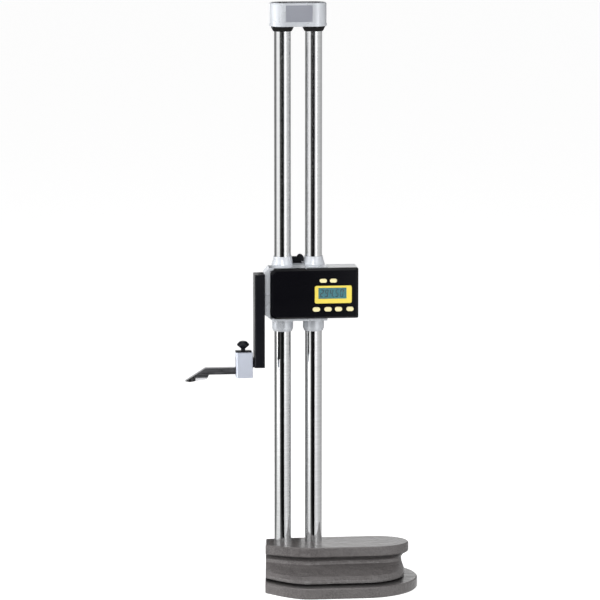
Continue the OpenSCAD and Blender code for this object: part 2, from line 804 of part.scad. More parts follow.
module housing_screws() {
    color("silver") on_slider() for (z = housing_screw_z) translate([0, housing_screw_y, z]) {
        rod_x(housing_head_r, block_right + housing_wall, block_right + housing_wall + housing_head_h);
        rod_x(housing_screw_r, block_right - hollow_wall, block_right + housing_wall);
    }
}

holder_y1 = housing_y1 - housing_wall;
battery_y1 = holder_y1 - 2 * seat_gap;
holder_y0 = battery_y1 - battery_h - seat_gap - holder_floor;

module battery_holder() {
    color("black") on_slider() translate([battery_x, 0, battery_z]) difference() {
        rod_y(holder_r, holder_y0, holder_y1);
        rod_y(battery_r + free_gap, holder_y0 + holder_floor, holder_y1 + cut);
    }
}

module battery() {
    color("silver") on_slider() translate([battery_x, 0, battery_z])
        rod_y(battery_r, battery_y1 - battery_h, battery_y1);
}

module battery_cover() {
    color("black") on_slider() translate([battery_x, 0, battery_z]) difference() {
        rod_y(cover_r, holder_y1 + seat_gap, holder_y1 + cover_t);
        block([-coin_slot_share * cover_r, holder_y1 + cover_t - coin_slot_d, -coin_slot_w / 2],
            [coin_slot_share * cover_r, holder_y1 + cover_t + cut, coin_slot_w / 2]);
    }
}

module port_socket() {
    color("black") on_slider() difference() {
        block([battery_x - port_w / 2, housing_y1 - port_d, port_z - port_h / 2],
            [battery_x + port_w / 2, housing_y1 - seat_gap, port_z + port_h / 2]);
        block([battery_x - port_w / 3, housing_y1 - port_d / 2, port_z - port_h / 4],
            [battery_x + port_w / 3, housing_y1 + cut, port_z + port_h / 4]);
    }
}

module port_cover() {
    color("black") on_slider() {
        across(housing_y1, housing_y1 + port_cover_t) translate([battery_x, port_z])
            round_rect(port_cover_w, port_cover_h, 2 * edge_r);
    }
}

// Pinions: involute teeth, one tooth gap facing the rack
base_share = cos(pressure_angle);
flank_n = 4;
pinion_half = 2.5;
root_r = pitch_r - gear_root;
tip_share = 0.9;
tip_r = pitch_r + tip_share * gear_m;

// Half the angle that a tooth fills at the radius r
function tooth_half(r) =
    let (c = min(1, base_share * pitch_r / r), a = acos(c), p = pressure_angle)
    90 / teeth - (backlash / 2) / pitch_r * 180 / PI
    + (tan(p) * 180 / PI - p) - (tan(a) * 180 / PI - a);

flank_r = [for (i = [0 : flank_n]) base_share * pitch_r + (tip_r - base_share * pitch_r) * i / flank_n];
flank = concat([[root_r, tooth_half(base_share * pitch_r)]], [for (r = flank_r) [r, tooth_half(r)]]);

module pinion_outline() {
    polygon([for (k = [0 : teeth - 1]) let (mid = (k + 0.5) * 360 / teeth) each concat(
        [for (f = flank) [f[0] * cos(mid - f[1]), f[0] * sin(mid - f[1])]],
        [for (i = [len(flank) - 1 : -1 : 0]) let (f = flank[i])
            [f[0] * cos(mid + f[1]), f[0] * sin(mid + f[1])]]
    )]);
}

module pinion(dz, y0, y1) {
    color("lightsteelblue") on_slider() translate([pinion_x, 0, dz]) {
        across(-pinion_half, pinion_half) pinion_outline();
        rod_y(shaft_r, y0, y1);
    }
}

// A bush with a flange: sleeve from y0 to y1, flange from y1 to y2
sleeve_r = 6;
flange_t = 2.5;

module flanged_bush(dz, flange_r, s0, s1, f0, f1) {
    color("goldenrod") on_slider() translate([pinion_x, 0, dz]) difference() {
        union() {
            rod_y(sleeve_r, s0, s1);
            rod_y(flange_r, f0, f1);
        }
        rod_y(shaft_r + running_gap, min(s0, f0) - cut, max(s1, f1) + cut);
    }
}

shaft_seat = 7;
disc_r = 12;
disc_t = 1;
disc_hub_r = 5;
disc_hub_t = 2;
hub_gap = 0.4;
disc_y0 = floor_y - flange_t - hub_gap - disc_hub_t - disc_t;
encoder_past = 2;
encoder_end_y = disc_y0 - encoder_past;
sensor_gap = 0.6;
sensor_half_w = 5;
sensor_z0 = 5;
sensor_z1 = 11;
bush_in_y = 4;

module encoder_pinion() { pinion(encoder_dz, encoder_end_y, chamber_half + shaft_seat); }
module encoder_bush() {
    flanged_bush(encoder_dz, disc_r, floor_y - seat_gap, -bush_in_y, floor_y - flange_t, floor_y);
}

module encoder_disc() {
    color("whitesmoke") on_slider() translate([pinion_x, 0, encoder_dz]) difference() {
        union() {
            rod_y(disc_r, disc_y0, disc_y0 + disc_t);
            rod_y(disc_hub_r, disc_y0, disc_y0 + disc_t + disc_hub_t);
        }
        rod_y(shaft_r, disc_y0 - cut, disc_y0 + disc_t + disc_hub_t + cut);
    }
}

module encoder_sensor() {
    color("black") on_slider() block([pinion_x - sensor_half_w, board_y1, encoder_dz + sensor_z0],
        [pinion_x + sensor_half_w, disc_y0 - sensor_gap, encoder_dz + sensor_z1]);
}

// Feed handwheel behind the slider
feed_flange_r = 13;
wheel_gap = 0.5;
wheel_y0 = block_back + flange_t + wheel_gap;
hub_len = 3;
hub_r = 9;
rim_t = 12;
wheel_y1 = wheel_y0 + hub_len + rim_t;
dish_depth = 3;
dish_r = 15;
notch_n = 30;
notch_r = 1.3;
wheel_screw_r = 1.5;
wheel_head_r = 4.5;
wheel_head_h = 2.5;
wheel_screw_in = 8;
wheel_end_y = wheel_y1 - dish_depth;

module feed_pinion() {
    difference() {
        pinion(feed_dz, -chamber_half - shaft_seat, wheel_end_y);
        on_slider() translate([pinion_x, 0, feed_dz])
            rod_y(wheel_screw_r + seat_gap, wheel_end_y - wheel_screw_in, wheel_end_y + cut);
    }
}

module feed_bush() {
    flanged_bush(feed_dz, feed_flange_r, bush_in_y, block_back + seat_gap,
        block_back, block_back + flange_t);
}

module feed_handwheel() {
    color("#303030") on_slider() translate([pinion_x, 0, feed_dz]) difference() {
        union() {
            rod_y(hub_r, wheel_y0, wheel_y0 + hub_len + edge_r);
            rod_y(wheel_d / 2 - edge_r, wheel_y0 + hub_len, wheel_y1);
            rod_y(wheel_d / 2, wheel_y0 + hub_len + edge_r, wheel_y1 - edge_r);
        }
        rod_y(dish_r, wheel_y1 - dish_depth, wheel_y1 + cut);
        rod_y(shaft_r, wheel_y0 - cut, wheel_y1);
        for (i = [0 : notch_n - 1]) rotate([0, i * 360 / notch_n, 0]) translate([wheel_d / 2, 0, 0])
            rod_y(notch_r, wheel_y0, wheel_y1 + cut);
    }
}

module wheel_screw() {
    color("silver") on_slider() translate([pinion_x, 0, feed_dz]) {
        rod_y(wheel_head_r, wheel_end_y, wheel_end_y + wheel_head_h);
        rod_y(wheel_screw_r, wheel_end_y - wheel_screw_in + seat_gap, wheel_end_y);
    }
}

// Slider clamp: a cam shaft from behind pushes a brass shoe against the right column
shoe_r = 3;
shoe_gap = 0.35;
clamp_bush_r = 5;
clamp_bush_y0 = 8;
clamp_flange_r = 7.5;
clamp_flange_t = 2;
lever_gap = 0.3;
lever_y0 = block_back + clamp_flange_t + lever_gap;
lever_t = 8;
lever_hub_r = 8;
lever_x0 = -7;
lever_x1 = 11.2;
lever_over = 5.6;
lever_top = block_h + lever_over;
nub_x = 6;
nub_r = 4.5;
nub_over = 3.4;
nub_top = lever_top + nub_over;

module clamp_screw() {
    color("silver") on_slider() translate([clamp_x, 0, clamp_dz])
        rod_y(clamp_r, -2 * clamp_r + seat_gap, lever_y0 + lever_t);
}

module clamp_bush() {
    color("goldenrod") on_slider() translate([clamp_x, 0, clamp_dz]) difference() {
        union() {
            rod_y(clamp_bush_r - seat_gap, clamp_bush_y0, block_back + seat_gap);
            rod_y(clamp_flange_r, block_back, block_back + clamp_flange_t);
        }
        rod_y(clamp_r + running_gap, 0, block_back + clamp_flange_t + cut);
    }
}

module clamp_shoe() {
    color("gold") on_slider() translate([0, 0, clamp_dz])
        rod_x(shoe_r, clamp_x + clamp_r + shoe_gap, col_x - col_r - shoe_gap);
}

module clamp_lever() {
    color("#202020") on_slider() difference() {
        union() {
            translate([clamp_x, 0, clamp_dz]) rod_y(lever_hub_r, lever_y0, lever_y0 + lever_t);
            across(lever_y0, lever_y0 + lever_t) polygon([
                [clamp_x - lever_hub_r, clamp_dz], [clamp_x + lever_hub_r, clamp_dz],
                [lever_x1, lever_top - edge_r], [lever_x1 - edge_r, lever_top],
                [lever_x0 + edge_r, lever_top], [lever_x0, lever_top - edge_r]
            ]);
            translate([nub_x, 0, nub_top - nub_r]) rod_y(nub_r, lever_y0, lever_y0 + lever_t);
        }
        translate([clamp_x, 0, clamp_dz]) rod_y(clamp_r, lever_y0 - cut, lever_y0 + lever_t + cut);
    }
}

// Scriber arm on the slider's left flank, with a nose that the scriber is clamped under
arm_x1 = -block_left;
arm_x0 = arm_x1 - arm_w;
arm_past_front = 7;
arm_y0 = -block_front - arm_past_front;
arm_y1 = arm_y0 + arm_d;
arm_screw_fore = 9;
arm_y = arm_y1 - arm_screw_fore;
arm_under = 8.6;
arm_top = block_h - arm_under;
arm_screw_z = [20, 52];
arm_screw_r = 2.5;
arm_head_r = 4.2;
arm_head_h = 5;
arm_screw_in = 7;
scriber_lift = 9.9;
scriber_z0 = scriber_lift - scriber_drop;
scriber_z1 = scriber_z0 + scriber_s;
arm_low = scriber_z1 + seat_gap;
nose_h = 13;
nose_half = 5;
nose_back = 11;
nose_y = arm_y0 + nose_back;
clamp_out = 25.2;
clamp_x0 = arm_x0 - clamp_out;
nose_in = 1;
nose_x0 = clamp_x0 + nose_in;
clamp_w = 22.7;
clamp_floor = 4.7;
clamp_z0 = scriber_z0 - clamp_floor;
clamp_h = 35;
clamp_half_d = 10;
clamp_play = 2;
knob_in = 10;
knob_x = clamp_x0 + knob_in;
thumb_r = 2;
thumb_plate_t = 2;
thumb_plate_half_d = 4.5;
plate_over = 0.7;
knob_r = 8.3;
knob_z0 = clamp_z0 + clamp_h + thumb_plate_t + seat_gap;
knob_h = 13;

// Points of the knob's outline: shares of its radius and of its height
knob_shares = [[0.36, 0], [0.36, 0.2], [1, 0.56], [1, 0.7], [0.6, 0.95], [0.42, 1], [0, 1]];

module scriber_arm() {
    color("#252525") on_slider() difference() {
        union() {
            translate([arm_x0, arm_y0, arm_low]) linear_extrude(arm_top - arm_low)
                chamfered(arm_w, arm_d, edge_r);
            block([nose_x0, nose_y - nose_half, arm_low],
                [arm_x0 + edge_r, nose_y + nose_half, arm_low + nose_h]);
        }
        for (z = arm_screw_z) translate([0, arm_y, z]) {
            rod_x(arm_screw_r + seat_gap, arm_x0 - cut, arm_x1 + cut);
            rod_x(arm_head_r + seat_gap, arm_x0 - cut, arm_x0 + arm_head_h);
        }
    }
}

module arm_screws() {
    color("silver") on_slider() for (z = arm_screw_z) translate([0, arm_y, z]) difference() {
        union() {
            rod_x(arm_head_r, arm_x0 + seat_gap, arm_x0 + arm_head_h);
            rod_x(arm_screw_r, arm_x0 + arm_head_h, arm_x1 + arm_screw_in - seat_gap);
        }
        translate([arm_x0 - cut, 0, 0]) rotate([0, 90, 0])
            cylinder(r = arm_screw_r, h = cut + arm_head_h / 2, $fn = 6);
    }
}

module scriber_clamp() {
    color("lightsteelblue") on_slider() difference() {
        translate([clamp_x0, nose_y - clamp_half_d, clamp_z0]) linear_extrude(clamp_h)
            chamfered(clamp_w, 2 * clamp_half_d, edge_r);
        block([clamp_x0 - cut, nose_y - nose_half - 2 * seat_gap, scriber_z0 - seat_gap],
            [clamp_x0 + clamp_w + cut, nose_y + nose_half + 2 * seat_gap, arm_low + nose_h + clamp_play]);
        translate([knob_x, nose_y, arm_low + nose_h]) cylinder(r = thumb_r + running_gap, h = clamp_h);
    }
}

module pressure_plate() {
    color("black") on_slider() difference() {
        translate([clamp_x0 - plate_over, nose_y - thumb_plate_half_d, clamp_z0 + clamp_h])
            linear_extrude(thumb_plate_t)
                chamfered(clamp_w - plate_over, 2 * thumb_plate_half_d, edge_r);
        translate([knob_x, nose_y, clamp_z0]) cylinder(r = thumb_r + running_gap, h = 2 * clamp_h);
    }
}

module thumb_screw() {
    color("black") on_slider() translate([knob_x, nose_y, 0]) rotate_extrude() polygon(concat(
        [[0, arm_low + nose_h + seat_gap], [thumb_r, arm_low + nose_h + seat_gap], [thumb_r, knob_z0]],
        [for (q = knob_shares) [q[0] * knob_r, knob_z0 + q[1] * knob_h]]
    ));
}

// Scriber: a square bar whose end is ground to a chisel, with a carbide tip
scriber_end_gap = 4.8;
scriber_x1 = arm_x0 - scriber_end_gap;
tip_x = -scriber_reach;
chisel_len = 28;
heel_len = 30;
chisel_heel_x = tip_x + heel_len;
heel_down = 6;
chisel_heel_z = scriber_z0 - heel_down;
heel_back = 2.7;
chisel_step_x = chisel_heel_x + heel_back;
tip_low_len = 6.3;
tip_low_x = tip_x + tip_low_len;
tip_flat = 1.3;
tip_end_z = tip_flat - scriber_drop;
tip_len = 14;
split_x = tip_x + tip_len;

// Height at x on the straight line from the point a to the point b
function line_at(a, b, x) = a[1] + (b[1] - a[1]) * (x - a[0]) / (b[0] - a[0]);

split_top = line_at([tip_x, tip_end_z], [tip_x + chisel_len, scriber_z1], split_x);
split_low = line_at([tip_low_x, -scriber_drop], [chisel_heel_x, chisel_heel_z], split_x);

module scriber() {
    color("gray") on_slider() across(nose_y - scriber_s / 2, nose_y + scriber_s / 2) polygon([
        [scriber_x1, scriber_z0], [scriber_x1, scriber_z1], [tip_x + chisel_len, scriber_z1],
        [split_x, split_top], [split_x, split_low], [chisel_heel_x, chisel_heel_z],
        [chisel_step_x, scriber_z0]
    ]);
}

module scriber_tip() {
    color("darkslategray") on_slider() across(nose_y - scriber_s / 2, nose_y + scriber_s / 2) polygon([
        [split_x, split_top], [tip_x, tip_end_z], [tip_low_x, -scriber_drop], [split_x, split_low]
    ]);
}

base_casting();
column_left();
column_right();
rack();
rack_screws();
column_bolts();
column_washers();
top_cap();
cap_plate();
cap_screws();
bump_stops();
slider_casting();
guide_bushes();
wiper_rings();
front_panel();
display_housing();
housing_screws();
lcd_frame();
lcd_window();
lcd_module();
circuit_board();
board_screws();
key_mat();
key_top_left();
key_top_right();
key_low_1();
key_low_2();
key_low_3();
key_low_4();
battery_holder();
battery();
battery_cover();
port_socket();
port_cover();
encoder_pinion();
encoder_disc();
encoder_bush();
encoder_sensor();
feed_pinion();
feed_bush();
feed_handwheel();
wheel_screw();
clamp_lever();
clamp_screw();
clamp_shoe();
clamp_bush();
scriber_arm();
arm_screws();
scriber_clamp();
pressure_plate();
thumb_screw();
scriber();
scriber_tip();
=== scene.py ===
# %% [markdown]
# # A digital height gauge, dressed for its photograph
#
# The gauge stands on a heavy painted base. Two chromed columns carry a slider with a display,
# and the slider carries a scriber that marks or measures at a height.
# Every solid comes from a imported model, called the frame here. This lesson builds a small studio
# around it, gives each solid its finish, rounds the sharp edges and writes the display's reading.

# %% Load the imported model
import json
import math
import bpy
import bmesh
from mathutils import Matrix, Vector


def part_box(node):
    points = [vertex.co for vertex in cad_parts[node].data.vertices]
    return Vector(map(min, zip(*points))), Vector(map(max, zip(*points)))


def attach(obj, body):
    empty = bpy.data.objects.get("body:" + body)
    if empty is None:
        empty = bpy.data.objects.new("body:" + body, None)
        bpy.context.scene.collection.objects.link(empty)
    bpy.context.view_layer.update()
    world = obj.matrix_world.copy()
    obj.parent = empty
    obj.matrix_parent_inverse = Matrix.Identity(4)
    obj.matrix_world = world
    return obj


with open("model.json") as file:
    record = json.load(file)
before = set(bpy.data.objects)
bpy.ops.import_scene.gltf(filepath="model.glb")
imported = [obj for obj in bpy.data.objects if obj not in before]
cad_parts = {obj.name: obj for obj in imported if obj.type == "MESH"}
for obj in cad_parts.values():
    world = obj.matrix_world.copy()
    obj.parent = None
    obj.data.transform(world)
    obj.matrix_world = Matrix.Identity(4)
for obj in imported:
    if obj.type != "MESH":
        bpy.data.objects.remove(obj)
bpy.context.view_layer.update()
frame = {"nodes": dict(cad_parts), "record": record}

# %% [markdown]
# ## The camera
#
# A product photograph like this is taken from far away with a long lens, so that upright columns
# stay almost parallel. We could guess the camera by eye, but here its place was solved from a few
# points of the gauge that are easy to find in the photograph. A target point, two angles, a
# distance and a focal length describe it completely.

# %% Set up the camera
SENSOR_MM = 36.0
PHOTO_PX = 600
FOCAL_PX = 3612
CAMERA_DISTANCE = 5.0
CAMERA_AZIMUTH = math.radians(-6.0)
CAMERA_ELEVATION = math.radians(9.27)
CAMERA_TARGET = Vector((0.0027, 0.0, 0.4004))
FARTHEST_SEEN = 50.0

camera_back = Vector((
    math.sin(CAMERA_AZIMUTH) * math.cos(CAMERA_ELEVATION),
    -math.cos(CAMERA_AZIMUTH) * math.cos(CAMERA_ELEVATION),
    math.sin(CAMERA_ELEVATION),
))
camera = bpy.data.objects.new("camera", bpy.data.cameras.new("camera"))
bpy.context.scene.collection.objects.link(camera)
camera.data.sensor_width = SENSOR_MM
camera.data.lens = FOCAL_PX / PHOTO_PX * SENSOR_MM
camera.location = CAMERA_TARGET + camera_back * CAMERA_DISTANCE
camera.rotation_mode = "QUATERNION"
camera.rotation_quaternion = (-camera_back).to_track_quat("-Z", "Y")
camera.data.clip_end = FARTHEST_SEEN
bpy.context.scene.camera = camera
bpy.context.scene.view_settings.view_transform = "Standard"
print("camera at", tuple(round(v, 2) for v in camera.location))

# %% [markdown]
# ## Small helpers for meshes
#
# The gauge's solids come ready made. Only the floor, the studio's cards and the reading on the
# display are made here, with bmesh, Blender's mesh toolkit: we make points, join them into faces
# and hand the result to an object.

# %% Mesh helpers
CRISP_ANGLE = math.radians(35)


def new_object(name, mesh_data):
    """Makes a smooth object from a bmesh, and keeps edges sharper than CRISP_ANGLE crisp."""
    bmesh.ops.recalc_face_normals(mesh_data, faces=mesh_data.faces)
    mesh = bpy.data.meshes.new(name)
    mesh_data.to_mesh(mesh)
    mesh_data.free()
    mesh.shade_smooth()
    mesh.set_sharp_from_angle(angle=CRISP_ANGLE)
    piece = bpy.data.objects.new(name, mesh)
    bpy.context.scene.collection.objects.link(piece)
    return piece


def flat_card(name, corners):
    """One flat face through four corners, to be a card or the floor."""
    mesh_data = bmesh.new()
    mesh_data.faces.new([mesh_data.verts.new(corner) for corner in corners])
    return new_object(name, mesh_data)


print("mesh helpers are ready")

# %% [markdown]
# ## Writing materials as short recipes
#
# A material in Blender is a small graph of nodes. Wired by hand in code, each takes a page. The
# first helper below keeps the graph short to write: it makes a node, sets its plain values and
# joins its inputs to other nodes' outputs. An input is named by its own name, with an underscore
# for each space, or by in0, in1 and so on where several share a name. With it, each finish, and
# the light of the room too, is a few readable lines.

# %% Node helpers
HALF_WAY = 0.5


def add_node(tree, kind, values=None, **inputs):
    """Makes a node, sets its properties from values and its sockets from the other arguments."""
    node = tree.nodes.new(kind)
    for key, value in (values or {}).items():
        setattr(node, key, value)
    for key, value in inputs.items():
        by_number = key.startswith("in") and key[2:].isdigit()
        socket = node.inputs[int(key[2:])] if by_number else node.inputs[key.replace("_", " ")]
        if isinstance(value, bpy.types.NodeSocket):
            tree.links.new(value, socket)
        else:
            socket.default_value = value
    return node


def ramp(tree, factor, stops):
    """A colour ramp: stops are pairs of a place from 0 to 1 and a colour."""
    node = add_node(tree, "ShaderNodeValToRGB", None, Fac=factor)
    while len(node.color_ramp.elements) < len(stops):
        node.color_ramp.elements.new(HALF_WAY)
    for element, (place, colour) in zip(node.color_ramp.elements, stops):
        element.position = place
        element.color = colour
    return node.outputs["Color"]


def finish_material(name, colour, roughness, metallic=0.0, **more):
    """A material with one Principled shader, ready for links into its sockets."""
    material = bpy.data.materials.new(name)
    material.use_nodes = True
    tree = material.node_tree
    shader = tree.nodes["Principled BSDF"]
    shader.inputs["Base Color"].default_value = (*colour, 1.0)
    shader.inputs["Roughness"].default_value = roughness
    shader.inputs["Metallic"].default_value = metallic
    for key, value in more.items():
        shader.inputs[key.replace("_", " ")].default_value = value
    return material, tree, shader


def grey(tone):
    """An even grey with its alpha."""
    return (tone, tone, tone, 1.0)


def shade(colour, factor):
    """The same colour, made lighter or darker, with its alpha."""
    return (*[min(1.0, c * factor) for c in colour], 1.0)


print("node helpers are ready")

# %% [markdown]
# ## A white room
#
# A metal object shows its surroundings more than itself. The room here is plain and pale: where
# the camera or a reflection sees it, it is white, so the picture gets a white background. The
# light that falls on things from it is a weaker grey, more from the sides than from above.
# One light could do both, but a room that lit things with its full white would wash them out.

# %% Light of the room
BACKDROP_WHITE = grey(1.0)
LIGHT_FROM_SIDES = 0.5
LIGHT_FROM_ABOVE = 0.16
FADE_BEGINS = 0.1
FADE_ENDS = 0.8

room = bpy.data.worlds.new("white_room")
bpy.context.scene.world = room
room.use_nodes = True
tree = room.node_tree
tree.nodes.clear()
seen_light = add_node(tree, "ShaderNodeBackground", None, Color=BACKDROP_WHITE)
view_way = add_node(tree, "ShaderNodeTexCoord").outputs["Generated"]
way_parts = add_node(tree, "ShaderNodeSeparateXYZ", None, in0=view_way)
height_fade = add_node(tree, "ShaderNodeMapRange", None, Value=way_parts.outputs["Z"],
                       From_Min=FADE_BEGINS, From_Max=FADE_ENDS,
                       To_Min=LIGHT_FROM_SIDES, To_Max=LIGHT_FROM_ABOVE)
falling_light = add_node(tree, "ShaderNodeBackground", None, Strength=height_fade.outputs[0])
ray_kind = add_node(tree, "ShaderNodeLightPath").outputs
camera_or_gloss = add_node(tree, "ShaderNodeMath", {"operation": "MAXIMUM"},
                           in0=ray_kind["Is Camera Ray"], in1=ray_kind["Is Glossy Ray"])
any_seen_ray = add_node(tree, "ShaderNodeMath", {"operation": "MAXIMUM"},
                        in0=camera_or_gloss.outputs[0], in1=ray_kind["Is Transmission Ray"])
room_mix = add_node(tree, "ShaderNodeMixShader", None, in0=any_seen_ray.outputs[0],
                    in1=falling_light.outputs[0], in2=seen_light.outputs[0])
add_node(tree, "ShaderNodeOutputWorld", None, Surface=room_mix.outputs[0])
print("room light:", LIGHT_FROM_SIDES, "from the sides and", LIGHT_FROM_ABOVE, "from above")

# %% [markdown]
# ## Soft lamps
#
# A large soft box at the front left is the main light, and weaker ones fill the other sides.
# A small one beside the main light draws small highlights on the edges and the paint. The side
# lamp is left out of reflections: it should light the slider's side, but a second bright stripe
# on the columns would hide how round they are.

# %% Set up the lamps
GAUGE_MIDDLE = (0.0, 0.0, 0.4)


def area_lamp(name, place, size, watts):
    """A soft box, as wide and high as size says, that shines from place towards the gauge."""
    light = bpy.data.lights.new(name, "AREA")
    light.shape = "RECTANGLE"
    light.size, light.size_y = size
    light.energy = watts
    lamp = bpy.data.objects.new(name, light)
    bpy.context.scene.collection.objects.link(lamp)
    lamp.location = place
    aim = Vector(GAUGE_MIDDLE) - Vector(place)
    lamp.rotation_euler = aim.to_track_quat("-Z", "Y").to_euler()
    return lamp


area_lamp("key_lamp", place=(-0.85, -2.35, 1.2), size=(1.1, 1.5), watts=32.0)
area_lamp("spark_lamp", place=(-0.35, -2.4, 1.75), size=(0.22, 0.22), watts=10.0)
area_lamp("fill_lamp", place=(1.8, -1.6, 0.8), size=(1.2, 1.6), watts=18.0)
side_lamp = area_lamp("side_lamp", place=(-2.2, -0.1, 0.9), size=(0.8, 1.4), watts=50.0)
side_lamp.visible_glossy = False
area_lamp("top_lamp", place=(0.2, 0.5, 2.4), size=(1.4, 1.4), watts=5.0)
print("lamps:", [lamp.name for lamp in bpy.data.lights])

# %% [markdown]
# ## The floor
#
# The floor is grey paper that also glows where the camera sees it. The glow brings it up to the
# white of the room. A floor of pure white paper would do the same for the camera, but it would
# throw so much light up that the undersides lost their shade. In this picture the glow and the
# lamps together take the paper past white, so the gauge's shadow is lost in it, as it is in the
# photograph. A lower FLOOR_GLOW brings the shadow back. Reflections see less of the glow close to
# the gauge, so the columns' lower ends keep some grey.

# %% Lay the floor
FLOOR_HALF = 12.0
FLOOR_TONE = 0.55
FLOOR_GLOW = 0.84
NEAR_GLOW_IN_MIRRORS = 0.2
NEAR_FLOOR = 0.3
FAR_FLOOR = 3.5

floor = flat_card("floor", [(-FLOOR_HALF, -FLOOR_HALF, 0), (FLOOR_HALF, -FLOOR_HALF, 0),
                            (FLOOR_HALF, FLOOR_HALF, 0), (-FLOOR_HALF, FLOOR_HALF, 0)])
floor_paper, tree, paper = finish_material("floor_paper", (FLOOR_TONE,) * 3, 0.9,
                                           Specular_IOR_Level=0.1)
floor_ray = add_node(tree, "ShaderNodeLightPath").outputs
seen_glow = add_node(tree, "ShaderNodeMath", {"operation": "MULTIPLY"},
                     in0=floor_ray["Is Camera Ray"], in1=FLOOR_GLOW)
floor_place = add_node(tree, "ShaderNodeTexCoord").outputs["Object"]
way_out = add_node(tree, "ShaderNodeVectorMath", {"operation": "LENGTH"}, in0=floor_place)
mirror_glow = add_node(tree, "ShaderNodeMapRange", None, Value=way_out.outputs["Value"],
                       From_Min=NEAR_FLOOR, From_Max=FAR_FLOOR,
                       To_Min=NEAR_GLOW_IN_MIRRORS, To_Max=FLOOR_GLOW)
glow_strength = add_node(tree, "ShaderNodeMath", {"operation": "MULTIPLY_ADD"},
                         in0=floor_ray["Is Glossy Ray"], in1=mirror_glow.outputs[0],
                         in2=seen_glow.outputs[0])
white_glow = add_node(tree, "ShaderNodeEmission", None, Strength=glow_strength.outputs[0])
paper_and_glow = add_node(tree, "ShaderNodeAddShader", None,
                          in0=paper.outputs[0], in1=white_glow.outputs[0])
tree.links.new(paper_and_glow.outputs[0], tree.nodes["Material Output"].inputs["Surface"])
floor.data.materials.append(floor_paper)
print("floor:", 2 * FLOOR_HALF, "m wide")

# %% [markdown]
# ## Cards that only reflections see
#
# Photographers stand dark and grey cards round polished metal, just outside the picture. Each
# column mirrors them as upright stripes, and the dark stripe beside the bright ones is what makes
# it look round and polished. One could paint such stripes on the columns, but they would stay put
# when the view changes. A card here glows in its own greys, from its left to its right, and is
# hidden from all rays but reflections. A strip of each lies on the floor towards the gauge,
# because a column also mirrors the floor. The high card gives the cap's rounded upper edge its
# dark line.

# %% Card helpers
def card_material(name, tones):
    """A card's own tones: pairs of a place from its left (0) to its right (1) and a tone."""
    material = bpy.data.materials.new(name)
    material.use_nodes = True
    tree = material.node_tree
    tree.nodes.clear()
    place_across = add_node(tree, "ShaderNodeUVMap").outputs["UV"]
    across = add_node(tree, "ShaderNodeSeparateXYZ", None, in0=place_across)
    tone_there = ramp(tree, across.outputs["X"], [(place, grey(tone)) for place, tone in tones])
    glow = add_node(tree, "ShaderNodeEmission", None, Color=tone_there)
    add_node(tree, "ShaderNodeOutputMaterial", None, Surface=glow.outputs[0])
    return material


def only_in_mirrors(card, tones):
    """Gives a card its tones, and hides it from all but reflections."""
    card.data.materials.append(card_material(card.name + "_tone", tones))
    card.visible_camera = False
    card.visible_diffuse = False
    card.visible_shadow = False
    card.visible_transmission = False
    return card


NEAR_SHARE = 0.3
CARD_TOP = 0.95
ABOVE_FLOOR = 0.002


def studio_card(name, left, right, tones):
    """A card that only reflections see, between two places (x, y) on the floor.

    It stands up from there, and a strip of it lies on the floor towards the gauge.
    """
    left, right = Vector((*left, ABOVE_FLOOR)), Vector((*right, ABOVE_FLOOR))
    up = Vector((0, 0, CARD_TOP))
    rows = [(left * NEAR_SHARE, right * NEAR_SHARE), (left, right), (left + up, right + up)]
    mesh_data = bmesh.new()
    uv = mesh_data.loops.layers.uv.new("across")
    corners = [[mesh_data.verts.new(corner) for corner in row] for row in rows]
    for low, high in zip(corners, corners[1:]):
        face = mesh_data.faces.new((low[0], low[1], high[1], high[0]))
        for loop, share in zip(face.loops, (0.0, 1.0, 1.0, 0.0)):
            loop[uv].uv = (share, 0.0)
    return only_in_mirrors(new_object(name, mesh_data), tones)


def round_the_front(azimuth, distance):
    """A place (x, y) on the floor, azimuth degrees round from the front towards the right."""
    a = math.radians(azimuth)
    return math.sin(a) * distance, -math.cos(a) * distance


print("card helpers are ready")

# %% Stand the cards round the gauge
HIGH_CARD_CORNERS = [(-1.5, 0.8, 0.83), (1.5, 0.8, 0.83), (1.5, 0.4, 2.6), (-1.5, 0.4, 2.6)]
cards = [
    studio_card("card_front", round_the_front(-46, 0.6), round_the_front(13, 0.6),
                [(0.0, 0.35), (0.2, 0.06), (0.4, 0.002), (1.0, 0.002)]),
    studio_card("card_left", round_the_front(-86, 0.6), round_the_front(-150, 0.6),
                [(0.0, 0.8), (0.35, 0.16), (1.0, 0.2)]),
    studio_card("card_right", round_the_front(38, 0.6), round_the_front(150, 0.9),
                [(0.0, 0.9), (0.2, 0.62), (0.55, 0.40), (1.0, 0.36)]),
    studio_card("card_behind", (-0.045, 0.11), (0.016, 0.11), [(0.0, 0.0), (1.0, 0.0)]),
    only_in_mirrors(flat_card("card_high", HIGH_CARD_CORNERS), [(0.0, 0.06), (1.0, 0.06)]),
]
print("cards:", [card.name for card in cards])

# %% [markdown]
# ## Shared effects
#
# Painted, plated and moulded surfaces are never perfectly even. Three effects turn up in most of
# the finishes here, so each is a node group, made once: a fine grain for paint and plastic, long
# scratches for ground metal, and the dimples of hammered paint. A group gives out only masks and
# heights, and the material decides what to do with them. All three are worked out in the object's
# own space, so nothing has to be unwrapped.

# %% Helpers for groups
FLOAT = "NodeSocketFloat"


